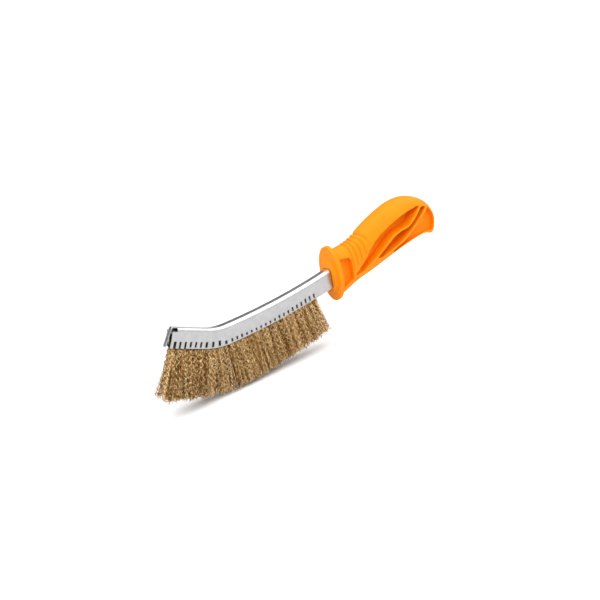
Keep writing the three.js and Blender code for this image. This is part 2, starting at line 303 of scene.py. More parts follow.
def makeLineGroup():
    # fine lines left by rolling or drawing, long in X and narrow in Y
    group, source, result = newGroup(
        "drawnLines", {"Vector": None, "Along": 60.0, "Across": 5000.0}, ["Value", "Scratch"])
    split = group.nodes.new("ShaderNodeSeparateXYZ")
    joined = group.nodes.new("ShaderNodeCombineXYZ")
    group.links.new(source.outputs["Vector"], split.inputs[0])
    along = mathNode(group, "MULTIPLY", split.outputs["X"], source.outputs["Along"])
    across = mathNode(group, "MULTIPLY", split.outputs["Y"], source.outputs["Across"])
    group.links.new(along, joined.inputs["X"])
    group.links.new(across, joined.inputs["Y"])
    lines = noiseNode(group, joined.outputs[0], 1.0, 5.0, 0.65)
    scratch = rangeNode(group, lines, 0.62, 0.7, 0.0, 1.0)
    group.links.new(lines, result.inputs["Value"])
    group.links.new(scratch, result.inputs["Scratch"])
    return group


def makeWearGroup():
    # rubbed outer edges and darker inner corners, broken up by grain
    group, source, result = newGroup(
        "edgeWear", {"Vector": None, "Grain": 900.0, "Edge": 0.53, "Corner": 0.47}, ["Rubbed", "CornerDarkening"])
    shape = group.nodes.new("ShaderNodeNewGeometry")
    grain = noiseNode(group, source.outputs["Vector"], source.outputs["Grain"], 4.0)
    shift = mathNode(group, "MULTIPLY", mathNode(group, "SUBTRACT", grain, 0.5), 0.05)
    point = mathNode(group, "ADD", shape.outputs["Pointiness"], shift)
    edgeEnd = mathNode(group, "ADD", source.outputs["Edge"], 0.05)
    cornerEnd = mathNode(group, "SUBTRACT", source.outputs["Corner"], 0.07)
    rubbed = rangeNode(group, point, source.outputs["Edge"], edgeEnd, 0.0, 1.0)
    cornerDarkening = rangeNode(group, point, source.outputs["Corner"], cornerEnd, 0.0, 1.0)
    group.links.new(rubbed, result.inputs["Rubbed"])
    group.links.new(cornerDarkening, result.inputs["CornerDarkening"])
    return group


cloudGroup, lineGroup, wearGroup = makeCloudGroup(), makeLineGroup(), makeWearGroup()


def placeGroup(tree, group, vector, **values):
    node = tree.nodes.new("ShaderNodeGroup")
    node.node_tree = group
    tree.links.new(vector, node.inputs["Vector"])
    for label, value in values.items():
        node.inputs[label].default_value = value
    return node.outputs


def mixColour(tree, share, first, second):
    node = tree.nodes.new("ShaderNodeMix")
    node.data_type = "RGBA"
    tree.links.new(share, node.inputs["Factor"])
    colourSockets = [socket for socket in node.inputs if socket.type == "RGBA"]
    for socket, value in zip(colourSockets, (first, second)):
        feed(tree, socket, value)
    return [socket for socket in node.outputs if socket.type == "RGBA"][0]


def startMaterial(name, **constants):
    material = bpy.data.materials.new(name)
    material.use_nodes = True
    tree = material.node_tree
    shader = tree.nodes["Principled BSDF"]
    for label, value in constants.items():
        shader.inputs[label].default_value = value
    return material, tree, shader


def addBump(tree, shader, height, strength, distance):
    bump = tree.nodes.new("ShaderNodeBump")
    bump.inputs["Strength"].default_value = strength
    bump.inputs["Distance"].default_value = distance
    tree.links.new(height, bump.inputs["Height"])
    tree.links.new(bump.outputs["Normal"], shader.inputs["Normal"])


plastic = {
    "colour": (0.87, 0.232, 0.001),
    "paler": (0.90, 0.262, 0.0015),
    "rubbed": (0.97, 0.35, 0.012),
    "roughness": (0.42, 0.54),
    "specular": 0.14,
    "rubbing": 0.45,  # how much of the rubbed colour shows on the edges
    "grain": 5200.0,  # moulded surface texture, per metre
    "grainBump": (0.25, 0.00005),  # strength, height in metres
}


def makePlastic():
    material, tree, shader = startMaterial("orangePlastic")
    shader.inputs["Specular IOR Level"].default_value = plastic["specular"]
    place = tree.nodes.new("ShaderNodeTexCoord").outputs["Object"]
    cloud = placeGroup(tree, cloudGroup, place, Scale=38.0)["Value"]
    smoothest, roughest = plastic["roughness"]
    sheen = placeGroup(tree, cloudGroup, place, Scale=310.0, Low=smoothest, High=roughest)
    wear = placeGroup(tree, wearGroup, place, Grain=700.0, Edge=0.515)
    body = mixColour(tree, cloud, plastic["colour"], plastic["paler"])
    rubbed = mathNode(tree, "MULTIPLY", wear["Rubbed"], plastic["rubbing"])
    tree.links.new(mixColour(tree, rubbed, body, plastic["rubbed"]), shader.inputs["Base Color"])
    tree.links.new(sheen["Value"], shader.inputs["Roughness"])
    grain = noiseNode(tree, place, plastic["grain"], 2.0)
    addBump(tree, shader, grain, *plastic["grainBump"])
    return material


plating = {
    "bright": (0.56, 0.561, 0.563),
    "cloudy": (0.48, 0.482, 0.488),
    "paintedTopLight": (0.78, 0.78, 0.785),  # painted highlight: the top is given a brighter colour than the sides, for the light that it reflects
    "cornerDarkening": (0.16, 0.16, 0.165),
    "cornerDarkeningShare": 0.6,
    "topEdge": (0.0040, 0.0050),  # metres along the sheet from its middle to where the side begins; over this the painted highlight of the top fades out
    "roughness": (0.2, 0.36),
    "scratching": 0.12,  # added roughness in a scratch
    "lineBump": (0.12, 0.00004),
}


def makePlating():
    material, tree, shader = startMaterial("brightPlating", Metallic=1.0)
    sheet = tree.nodes.new("ShaderNodeUVMap")
    sheet.uv_map = "sheet"
    place = tree.nodes.new("ShaderNodeTexCoord").outputs["Object"]
    cloud = placeGroup(tree, cloudGroup, place, Scale=170.0)["Value"]
    lines = placeGroup(tree, lineGroup, sheet.outputs["UV"], Along=45.0, Across=4200.0)
    wear = placeGroup(tree, wearGroup, place, Grain=1500.0, Corner=0.47)
    split = tree.nodes.new("ShaderNodeSeparateXYZ")
    tree.links.new(sheet.outputs["UV"], split.inputs[0])
    fromMiddle = mathNode(tree, "ABSOLUTE", split.outputs["Y"])
    # painted highlight: a brighter colour over the top of the sheet, fading out towards the sides
    paintedTopLight = rangeNode(tree, fromMiddle, *plating["topEdge"], 1.0, 0.0)
    sides = mixColour(tree, cloud, plating["bright"], plating["cloudy"])
    bright = mixColour(tree, paintedTopLight, sides, plating["paintedTopLight"])
    # the hollow inner corners are made darker
    cornerDarkening = mathNode(tree, "MULTIPLY", wear["CornerDarkening"], plating["cornerDarkeningShare"])
    tree.links.new(mixColour(tree, cornerDarkening, bright, plating["cornerDarkening"]), shader.inputs["Base Color"])
    rough = rangeNode(tree, lines["Value"], 0.3, 0.7, *plating["roughness"])
    scratch = mathNode(tree, "MULTIPLY", lines["Scratch"], plating["scratching"])
    tree.links.new(mathNode(tree, "ADD", rough, scratch), shader.inputs["Roughness"])
    addBump(tree, shader, lines["Value"], *plating["lineBump"])
    return material


bareSteel = {
    "cutSteel": ((0.62, 0.62, 0.63), 0.32),  # colour, roughness
    "drawnSteel": ((0.5, 0.5, 0.51), 0.3),
    "darker": 0.7,
    "rougher": 0.15,
    "lineBump": (0.2, 0.00003),
}


def makeBareSteel(name):
    tone, roughness = bareSteel[name]
    material, tree, shader = startMaterial(name, Metallic=1.0)
    place = tree.nodes.new("ShaderNodeTexCoord").outputs["Object"]
    cloud = placeGroup(tree, cloudGroup, place, Scale=420.0)["Value"]
    lines = placeGroup(tree, lineGroup, place, Along=90.0, Across=6000.0)
    darker = tuple(part * bareSteel["darker"] for part in tone)
    tree.links.new(mixColour(tree, cloud, tone, darker), shader.inputs["Base Color"])
    rough = rangeNode(tree, lines["Value"], 0.3, 0.7, roughness, roughness + bareSteel["rougher"])
    tree.links.new(rough, shader.inputs["Roughness"])
    addBump(tree, shader, lines["Value"], *bareSteel["lineBump"])
    return material


brass = {
    "dark": (0.15, 0.062, 0.012),
    "middle": (0.62, 0.365, 0.130),
    "light": (1.0, 0.78, 0.45),
    "middlePlace": 0.45,
    "patches": (-0.3, 0.3),  # change of tone along a wire
    "paintedChannelShade": (0.035, 0.025, 0.015),  # painted shade: a near black colour on the wires inside the channel, standing in for its shadow
    "paintedShadeRun": (0.10, 0.15),  # share of a leg's length from the turn, over which the painted shade fades out
    "cutEnd": (0.55, 0.52, 0.48),
    "cutRun": (0.994, 0.998),
    "roughness": (0.46, 0.26),
    "lineBump": (0.15, 0.00003),
}


def makeBrass():
    material, tree, shader = startMaterial("brassWire", Metallic=1.0)
    tone = tree.nodes.new("ShaderNodeAttribute")
    tone.attribute_name = "wireTone"
    run = tree.nodes.new("ShaderNodeAttribute")
    run.attribute_name = "wireRun"
    place = tree.nodes.new("ShaderNodeTexCoord").outputs["Object"]
    darkest, lightest = brass["patches"]
    patch = placeGroup(tree, cloudGroup, place, Scale=420.0, Low=darkest, High=lightest)["Value"]
    level = mathNode(tree, "ADD", tone.outputs["Fac"], patch, clamp=True)
    ramp = tree.nodes.new("ShaderNodeValToRGB")
    stops = ramp.color_ramp.elements
    stops[0].color = (*brass["dark"], 1)
    stops[1].color = (*brass["light"], 1)
    middle = stops.new(brass["middlePlace"])
    middle.color = (*brass["middle"], 1)
    tree.links.new(level, ramp.inputs[0])
    cutEnd = rangeNode(tree, run.outputs["Fac"], *brass["cutRun"], 0.0, 1.0)
    # painted shade: the wires are darkened inside the channel, up to where they leave it
    inside = rangeNode(tree, run.outputs["Fac"], *brass["paintedShadeRun"], 0.9, 0.0)
    colour = mixColour(tree, inside, ramp.outputs["Color"], brass["paintedChannelShade"])
    tree.links.new(mixColour(tree, cutEnd, colour, brass["cutEnd"]), shader.inputs["Base Color"])
    tree.links.new(rangeNode(tree, level, 0.0, 1.0, *brass["roughness"]), shader.inputs["Roughness"])
    lines = placeGroup(tree, lineGroup, place, Along=4000.0, Across=4000.0)
    addBump(tree, shader, lines["Value"], *brass["lineBump"])
    return material


floorPaint = {
    "pale": (0.97, 0.97, 0.97),
    "cloudy": (0.955, 0.957, 0.96),
    "around": (0.72, 0.72, 0.725),  # the weaker light that the brush gets from it
}


def makeFloorPaint():
    material, tree, shader = startMaterial("paleFloor")
    place = tree.nodes.new("ShaderNodeTexCoord").outputs["Object"]
    cloud = placeGroup(tree, cloudGroup, place, Scale=9.0)["Value"]
    pale = mixColour(tree, cloud, floorPaint["pale"], floorPaint["cloudy"])
    seen = tree.nodes.new("ShaderNodeLightPath").outputs["Is Camera Ray"]
    tree.links.new(mixColour(tree, seen, floorPaint["around"], pale), shader.inputs["Base Color"])
    tree.links.new(rangeNode(tree, cloud, 0.0, 1.0, 0.7, 0.8), shader.inputs["Roughness"])
    return material


# all lengths from here on are in millimetres
handle = {
    "sections": [
        # crown, belly and half width of each section from the guard to the tail
        ((3, 15.5), (3, -23.5), 10.5),
        ((14, 16.8), (13, -20), 10.5),
        ((28, 20), (24, -16.2), 11),
        ((45, 28), (38, -13.2), 12),
        ((60, 33.6), (54, -9), 13.3),
        ((75, 37.6), (72, -4.6), 14),
        ((88, 38.2), (87, -1.8), 14),
        ((100, 35.2), (99, -0.2), 13.4),
        ((110.4, 28.6), (107, -0.8), 12),
        ((116.6, 20), (112, -2.8), 10),
        ((118, 13), (114, -2.4), 8.4),
    ],
    "rings": 170,
    "around": 140,
    "backEdge": [(18.5, -10.5), (30, -1), (39, 7.8), (47.5, 14.8), (62, 21.5), (78, 26.4), (95, 28.6)],
    "upperRib": [(29, -10.5), (43, -2.4), (54, 4.8), (63, 10.6), (72, 13.6), (83, 15.6), (99, 27.2)],
    "lowerRib": [(51, -4.6), (62, -1), (72, 2.4), (80, 6.6), (94, 15.6), (107.5, 24.6)],
    "ribThickness": 2.0,
    "ribRise": (0.5, 0.86),  # how an edge of a rib is moved off its middle line, back and up
    "roundness": (0.78, 0.42, 0.8),  # powers of the section's upper width, lower width and height
    "tailRim": [(108.6, 23.4), (113.4, 16), (114, 8), (111.2, 1.2)],
    "tailBelly": [(104, 2.4), (92, 1.6), (78, -0.8), (64, -4)],
    "pocket": [(4, 8.4), (15.4, 7.4), (17.4, 4.6), (17.4, -12), (4, -17.5)],
    "webHalf": 1.7,  # half of the central web
    "neckHalf": 4.4,  # half of the core that the neck keeps, as far as its end
    "neckEnd": 29.0,
    "tailHalf": 5.0,
    "cutWidth": 40,
    "curveSteps": 60,
    "guard": (14.5, 24.2, -3.4, 4.0),  # half width, half height, middle, thickness
    "collar": (10.4, 14.2, -5.6),
    "grooves": 5,
    "grooveFirst": 17.4,
    "groovePitch": 3.7,
    "grooveWidth": 1.7,
    "grooveDepth": 1.6,
    "grooveBow": 5.5,  # how far the sides of the last groove run back
    "bowHalf": 11,
    "grooveReach": 14,
    "grooveLowest": -6,
    "grooveClimb": 3.2,
    "gap": 0.3,  # between plastic and steel
    "voxel": 0.6,
    "softening": 5,
}
channelSize = {
    "width": 10.0,
    "height": 15.8,
    "sheet": 0.8,
    "corner": 3.0,
    "entered": 0.7,  # how far the section goes into the guard
    "entryFrom": 6,  # how far in front of the guard the opening for it is cut
    "tangWidth": 5.2,
    "tangHeight": 9.0,
    "tangLength": 24.0,
    "tangDrop": 1.5,
    "tangOverlap": 0.5,
}
clear = 60  # a height beyond every part of the handle


def smoothLine(points, steps):
    # a smooth curve through the points, with the given number of steps
    points = np.asarray(points, float)
    last = len(points) - 1
    result = []
    for t in np.linspace(0, last, steps + 1):
        index = min(int(t), last - 1)
        u = t - index
        p1, p2 = points[index], points[index + 1]
        p0, p3 = points[max(index - 1, 0)], points[min(index + 2, last)]
        v0, v1 = (p2 - p0) / 2, (p3 - p1) / 2
        cubic = 2 * p1 - 2 * p2 + v0 + v1
        square = 3 * p2 - 3 * p1 - 2 * v0 - v1
        result.append(cubic * u**3 + square * u**2 + v0 * u + p1)
    return np.array(result)


def gripMesh(inset):
    sections = handle["sections"]
    rings, around = handle["rings"], handle["around"]
    crowns = smoothLine([s[0] for s in sections], rings)
    bellies = smoothLine([s[1] for s in sections], rings)
    halves = smoothLine([[s[2]] for s in sections], rings)[:, 0]
    turn = np.arange(around) * 2 * math.pi / around
    side, rise = np.sin(turn), np.cos(turn)
    upperWidth, lowerWidth, tallness = handle["roundness"]
    across = np.sign(side) * np.abs(side) ** np.where(rise > 0, upperWidth, lowerWidth)
    lift = np.sign(rise) * np.abs(rise) ** tallness
    points = []
    for crown, belly, half in zip(crowns, bellies, halves):
        height = np.linalg.norm(crown - belly)
        up = (crown - belly) / height
        centre = (crown + belly) / 2
        reach = (height / 2 - inset) * lift
        x, y, z = centre[0] + up[0] * reach, (half - inset) * across, centre[1] + up[1] * reach
        points.append(np.column_stack([x, y, z]))
    faces = []
    for ring in range(rings):
        for step in range(around):
            a, b = ring * around + step, ring * around + (step + 1) % around
            faces.append((a, a + around, b + around, b))
    faces.append(tuple(range(around)))
    faces.append(tuple(reversed(range(rings * around, (rings + 1) * around))))
    mesh = bpy.data.meshes.new("grip")
    mesh.from_pydata(np.concatenate(points).tolist(), [], faces)
    return mesh


def prismMesh(outline, low, high, upright=False):
    # the outline is [x, z] points swept over Y, or [x, y] points swept over Z when upright
    outline = np.asarray(outline, float)
    count = len(outline)
    layers = []
    for level in (low, high):
        column = np.full(count, float(level))
        parts = (outline[:, 0], outline[:, 1], column) if upright else (outline[:, 0], column, outline[:, 1])
        layers.append(np.column_stack(parts))
    work = bmesh.new()
    corners = [work.verts.new(point) for point in np.concatenate(layers)]
    work.faces.new(corners[:count])
    work.faces.new(corners[count:])
    for index in range(count):
        after = (index + 1) % count
        work.faces.new((corners[index], corners[after], corners[count + after], corners[count + index]))
    bmesh.ops.recalc_face_normals(work, faces=work.faces)
    bmesh.ops.triangulate(work, faces=[face for face in work.faces if len(face.verts) > 4])
    mesh = bpy.data.meshes.new("prism")
    work.to_mesh(mesh)
    work.free()
    return mesh


def sideSlab(outline, width):
    return prismMesh(outline, -width / 2, width / 2)


def boxAlong(start, angle, length, width, height):
    # a box below a line that starts at a point of the side view
    forward = np.array([math.cos(angle), math.sin(angle)]) * length
    down = np.array([math.sin(angle), -math.cos(angle)]) * height
    start = np.asarray(start, float)
    return sideSlab([start, start + forward, start + forward + down, start + down], width)


def combined(base, operation, other):
    # one boolean step on two meshes
    baseObject, otherObject = addObject("base", base), addObject("other", other)
    modifier = baseObject.modifiers.new("cut", "BOOLEAN")
    modifier.operation = operation
    modifier.solver = "EXACT"
    modifier.object = otherObject
    graph = bpy.context.evaluated_depsgraph_get()
    result = bpy.data.meshes.new_from_object(baseObject.evaluated_get(graph))
    bpy.data.objects.remove(baseObject)
    bpy.data.objects.remove(otherObject)
    return result


def lifted(line, rise):
    back, up = handle["ribRise"]
    return [(x - rise * back, z + rise * up) for x, z in line]


def ovalPlate(halfWidth, halfHeight, middle, start, end):
    turn = np.linspace(0, 2 * math.pi, 97)[:-1]
    y, z = halfWidth * np.cos(turn), middle + halfHeight * np.sin(turn)
    plate = prismMesh(np.column_stack([y, z]), start, end, upright=True)
    turned = Matrix(((0, 0, 1, 0), (1, 0, 0, 0), (0, 1, 0, 0), (0, 0, 0, 1)))
    plate.transform(turned)
    return plate


def tangMesh(allowance):
    entry = math.radians(rail["entry"])
    reach = channelSize["entered"] - channelSize["tangOverlap"]
    drop = channelSize["tangDrop"]
    x = reach * math.cos(entry) + drop * math.sin(entry)
    z = reach * math.sin(entry) + (allowance - drop) * math.cos(entry)
    width = channelSize["tangWidth"] + 2 * allowance
    length = channelSize["tangLength"] + allowance
    return boxAlong((x, z), entry, length, width, channelSize["tangHeight"] + 2 * allowance)


def sectionOutline(inset, bottom):
    # the channel's section as [y, depth], drawn in by an inset and closed at a depth
    half, radius = channelSize["width"] / 2 - inset, channelSize["corner"] - inset
    turns = np.linspace(0, math.pi / 2, 9)
    corner = [(half - radius + radius * math.cos(a), inset + radius - radius * math.sin(a)) for a in turns]
    right = [(half, bottom), *corner]
    return right + [(-y, depth) for y, depth in reversed(right)]


def channelEntry(allowance):
    # the channel's section where it enters the guard, with room around it
    outline = sectionOutline(-allowance, channelSize["height"] + allowance)
    count = len(outline)
    work = bmesh.new()
    rings = []
    begin = rail["length"] - channelSize["entryFrom"]
    for distance in (begin, rail["length"] + channelSize["entered"] + allowance):
        places = [(railPoint(distance, depth), y) for y, depth in outline]
        rings.append([work.verts.new((x, y, z)) for (x, z), y in places])
    for index in range(count):
        after = (index + 1) % count
        work.faces.new((rings[0][index], rings[0][after], rings[1][after], rings[1][index]))
    work.faces.new(rings[0])
    work.faces.new(rings[1])
    bmesh.ops.recalc_face_normals(work, faces=work.faces)
    bmesh.ops.triangulate(work, faces=[face for face in work.faces if len(face.verts) > 4])
    mesh = bpy.data.meshes.new("entry")
    work.to_mesh(mesh)
    work.free()
    return mesh


def grooveMesh(index):
    centre = handle["grooveFirst"] + handle["groovePitch"] * index
    bow = handle["grooveBow"] * (0.25 + 0.75 * index / (handle["grooves"] - 1))
    y = np.linspace(-handle["grooveReach"], handle["grooveReach"], 29)
    x = centre + bow * np.minimum((y / handle["bowHalf"]) ** 2, 1.2)
    half = handle["grooveWidth"] / 2
    outline = [*zip(x - half, y), *reversed(list(zip(x + half, y)))]
    base = handle["grooveLowest"] + handle["grooveClimb"] * index
    return prismMesh(outline, base, base + clear, upright=True)


def sideRecess(outline, start, end, half):
    # a cut into both sides that leaves a middle layer between two places
    layer = sideSlab([(start, -clear), (end, -clear), (end, clear), (start, clear)], 2 * half)
    mesh = outline if isinstance(outline, bpy.types.Mesh) else sideSlab(outline, handle["cutWidth"])
    return combined(mesh, "DIFFERENCE", layer)


def curve(points):
    return smoothLine(points, handle["curveSteps"])


def makeHandle():
    thick = handle["ribThickness"] / 2
    upperRib, lowerRib = handle["upperRib"], handle["lowerRib"]
    recesses = [
        [*curve(handle["backEdge"]), *curve(lifted(upperRib, thick))[::-1]],
        [*curve(lifted(upperRib, -thick)[1:]), *curve(lifted(lowerRib, thick))[::-1]],
        handle["pocket"],
    ]
    first, last = -10, 130  # places beyond both ends of the handle
    grip = gripMesh(0)
    for outline in recesses:
        cut = sideRecess(outline, first, last, handle["webHalf"])
        grip = combined(grip, "DIFFERENCE", sideRecess(cut, 0, handle["neckEnd"], handle["neckHalf"]))
    tail = [*curve(lifted(lowerRib, -thick)[1:]), *curve(handle["tailRim"]), *curve(handle["tailBelly"])]
    grip = combined(grip, "DIFFERENCE", sideRecess(tail, first, last, handle["tailHalf"]))
    core = gripMesh(handle["grooveDepth"])
    for index in range(handle["grooves"]):
        grip = combined(grip, "DIFFERENCE", combined(grooveMesh(index), "DIFFERENCE", core.copy()))
    halfWidth, halfHeight, middle, thickness = handle["guard"]
    grip = combined(grip, "UNION", ovalPlate(halfWidth, halfHeight, middle, 0, thickness))
    halfWidth, halfHeight, middle = handle["collar"]
    grip = combined(grip, "UNION", ovalPlate(halfWidth, halfHeight, middle, -collarRise, 0.5))
    grip = combined(grip, "DIFFERENCE", channelEntry(handle["gap"]))
    grip = combined(grip, "DIFFERENCE", tangMesh(handle["gap"]))
    print("handle cut:", len(grip.polygons), "faces")
    body = addObject("moulded_handle", grip)
    remesh = body.modifiers.new("evenFaces", "REMESH")
    remesh.mode = "VOXEL"
    remesh.voxel_size = handle["voxel"]
    soften = body.modifiers.new("softEdges", "SMOOTH")
    soften.factor = 0.5
    soften.iterations = handle["softening"]
    graph = bpy.context.evaluated_depsgraph_get()
    body.data = bpy.data.meshes.new_from_object(body.evaluated_get(graph))
    body.modifiers.clear()
    body.data.transform(Matrix.Translation(guardFace) @ Matrix.Scale(mm, 4))
    smoothShading(body.data)
    print("handle:", len(body.data.polygons), "faces")
    return body


channel = {
    # rows of the wall, as depths below the top
    "levels": [15.8, 15.5, 14.9, 14.1, 13.3, 12.6, 11.9, 11.2, 10.4, 9.6, 8.4, 7.2, 5.6, 4.2],
    "cornerSteps": 10,
    "crimps": 29,
    "pitch": 4.44,
    "first": 1.1,  # where the first crimp begins
    "slotWidth": 1.5,
    "firstSlotWidth": 2.2,
    "openSlots": 3,  # at the front, open to the lower edge
    "slotFoot": 14.9,  # depth at which the other slots end
    "slotTops": [10.4] * 9 + [11.9] * 4 + [12.6] * 7 + [11.9] * 3 + [11.2] * 3 + [10.4] * 3,
    "pressedFrom": 8.4,
    "pressed": 0.55,  # how far the lower edge is pressed in
    "pressedFade": 8,  # length over which it ends, behind the last slot
    "scallop": 0.3,  # further pressing beside each slot
    "relief": 4.2,  # length of the notch in the upper corners behind the tab
    "tabBend": 1.5,
    "tabStart": 1.3,
    "tabLean": 12.0,  # degrees
    "tabLength": 14.8,
    "tabWidening": (1.1, 5),  # how many times wider, and over which length
    "bevel": 0.1,
    "endPlate": (0.95, 12.5),  # thickness, height
    "endPlateIn": (1.0, 1.2),  # how far it lies before the end and below the sheet
}


def slotCentre(index):
    return channel["first"] + channel["pitch"] * (index + 0.5)


def slotHalf(index):
    return (channel["firstSlotWidth"] if index == 0 else channel["slotWidth"]) / 2


def channelColumns():
    columns = [0.0, channel["tabStart"]]
    for index in range(channel["crimps"]):
        centre, half = slotCentre(index), slotHalf(index)
        columns += list(np.linspace(columns[-1], centre - half, 7)[1:])
        columns += [centre, centre + half]
    columns += list(np.linspace(columns[-1], rail["length"] + channelSize["entered"], 28)[1:])
    return np.array(sorted([*columns, channel["relief"]]))


def channelProfile():
    # [y, depth] from one lower edge over the top to the other
    half, radius = channelSize["width"] / 2, channelSize["corner"]
    wall = [(-half, level) for level in channel["levels"]]
    corner = [(-half + radius - radius * math.cos(a), radius - radius * math.sin(a))
              for a in np.linspace(0, math.pi / 2, channel["cornerSteps"])]
    web = [(y, 0.0) for y in np.linspace(-half + radius, 0, 3)[1:]]
    left = wall + corner + web
    return np.array(left + [(-y, depth) for y, depth in reversed(left[:-1])])


def pressedIn(distance, depth):
    # how far the wall is pressed towards the wires
    start, height = channel["pressedFrom"], channelSize["height"]
    ease = np.clip((depth - start) / (height - start), 0, 1)
    ease = ease * ease * (3 - 2 * ease)
    phase = (distance - channel["first"]) / channel["pitch"] - 0.5
    nearest = np.clip(np.round(phase), 0, channel["crimps"] - 1)
    scallop = np.clip(1 - np.abs(phase - nearest) / 0.5, 0, 1) ** 2
    length = channel["pressedFade"]
    fade = np.clip((slotCentre(channel["crimps"] - 1) + length - distance) / length, 0, 1)
    return ease * (channel["pressed"] * fade + channel["scallop"] * scallop)


def sheetFaces(columns, profile, webHalf):
    # every cell of the grid, apart from the slots and the notch in front
    faces = []
    rows = len(profile)
    for i in range(len(columns) - 1):
        middle = (columns[i] + columns[i + 1]) / 2
        slot = None
        for index in range(channel["crimps"]):
            if abs(middle - slotCentre(index)) < slotHalf(index):
                slot = index
        for j in range(rows - 1):
            level = (profile[j, 1] + profile[j + 1, 1]) / 2
            if slot is not None and level > channel["slotTops"][slot]:
                if slot < channel["openSlots"] or level < channel["slotFoot"]:
                    continue
            onWeb = max(abs(profile[j, 0]), abs(profile[j + 1, 0])) < webHalf
            begin = channel["tabStart"] if onWeb else channel["relief"]
            if middle < begin and level < channelSize["corner"]:
                continue
            a, b = i * rows + j, (i + 1) * rows + j
            faces.append((a, a + 1, b + 1, b))
    return faces


def tabPath():
    # the front tab runs on from the web, round a bend and down, as distance, depth and length run
    radius = channel["tabBend"]
    turns = np.linspace(0, math.radians(90 - channel["tabLean"]), 9)
    path = []
    for a in turns:
        path.append((channel["tabStart"] - radius * math.sin(a), radius - radius * math.cos(a), radius * a))
    distance, depth, bent = path[-1]
    for run in np.linspace(0, channel["tabLength"], 13)[1:]:
        ahead, down = run * math.cos(turns[-1]), run * math.sin(turns[-1])
        path.append((distance - ahead, depth + down, bent + run))
    return path


def makeChannelSheet():
    columns, profile = channelColumns(), channelProfile()
    rows = len(profile)
    across = np.concatenate([[0], np.cumsum(np.linalg.norm(np.diff(profile, axis=0), axis=1))])
    across -= across[-1] / 2
    grid, depth = np.meshgrid(columns, profile[:, 1], indexing="ij")
    y = np.broadcast_to(profile[:, 0], grid.shape)
    y = y - np.sign(y) * pressedIn(grid, depth) * (np.abs(y) > channelSize["width"] / 2 - 0.01)
    x, z = railPoint(grid, depth)
    points = np.stack([x, y, z], axis=-1).reshape(-1, 3)
    sheetUv = np.stack([grid, np.broadcast_to(across, grid.shape)], axis=-1).reshape(-1, 2)
    webHalf = channelSize["width"] / 2 - channelSize["corner"] + 0.01
    faces = sheetFaces(columns, profile, webHalf)
    webRows = [j for j in range(rows) if abs(profile[j, 0]) < webHalf]
    path = tabPath()
    most, within = channel["tabWidening"]
    frontX, frontZ = railPoint(0.0, 0.0)
    frontAngle = float(railAngle(0.0))
    tabPoints, tabUv = [], []
    for distance, depth, run in path:
        widening = 1 + (most - 1) * min(run / within, 1)
        tabX = frontX + distance * math.cos(frontAngle) + depth * math.sin(frontAngle)
        tabZ = frontZ + distance * math.sin(frontAngle) - depth * math.cos(frontAngle)
        tabPoints += [(tabX, profile[j, 0] * widening, tabZ) for j in webRows]
        tabUv += [(-run, across[j]) for j in webRows]
    width = len(webRows)
    for i in range(len(path) - 1):
        for j in range(width - 1):
            a, b = len(points) + i * width + j, len(points) + (i + 1) * width + j
            faces.append((a, b, b + 1, a + 1))
    points = placed(np.concatenate([points, tabPoints]))
    sheetUv = np.concatenate([sheetUv, tabUv]) * mm
    mesh = bpy.data.meshes.new("channelSheet")
    mesh.from_pydata(points.tolist(), [], faces)
    layer = mesh.uv_layers.new(name="sheet")
    corners = np.zeros(len(mesh.loops), np.int32)
    mesh.loops.foreach_get("vertex_index", corners)
    layer.data.foreach_set("uv", sheetUv[corners].astype(np.float32).ravel())
    work = bmesh.new()
    work.from_mesh(mesh)
    bmesh.ops.delete(work, geom=[vert for vert in work.verts if not vert.link_faces], context="VERTS")
    bmesh.ops.remove_doubles(work, verts=work.verts, dist=0.02 * mm)
    work.to_mesh(mesh)
    work.free()
    return mesh


def makeChannel():
    body = addObject("crimped_channel", makeChannelSheet())
    thicken = body.modifiers.new("sheetThickness", "SOLIDIFY")
    thicken.thickness = channelSize["sheet"] * mm
    thicken.offset = 1.0
    thicken.use_even_offset = True
    thicken.material_offset_rim = 1
    edge = body.modifiers.new("edgeRounding", "BEVEL")
    edge.width = channel["bevel"] * mm
    edge.segments = 2
    edge.limit_method = "ANGLE"
    edge.angle_limit = math.radians(50)
    body.data.materials.append(platingMaterial)
    body.data.materials.append(cutSteelMaterial)
    graph = bpy.context.evaluated_depsgraph_get()
    finished = bpy.data.meshes.new_from_object(body.evaluated_get(graph))
    body.modifiers.clear()
    work = bmesh.new()
    work.from_mesh(finished)
    # the closed end and the tang, hidden in the handle
    entry = float(railAngle(rail["length"] - 1))
    innerWidth = channelSize["width"] - 2 * channelSize["sheet"] - 0.1
    before, below = channel["endPlateIn"]
    thickness, plateHeight = channel["endPlate"]
    plateStart = railPoint(rail["length"] + channelSize["entered"] - before, channelSize["sheet"] + below)
    for part in (boxAlong(plateStart, entry, thickness, innerWidth, plateHeight), tangMesh(0)):
        part.transform(Matrix.Translation(guardFace) @ Matrix.Scale(mm, 4))
        work.from_mesh(part)
    work.to_mesh(finished)
    work.free()
    body.data = finished
    smoothShading(body.data)
    print("channel:", len(body.data.polygons), "faces")
    return body


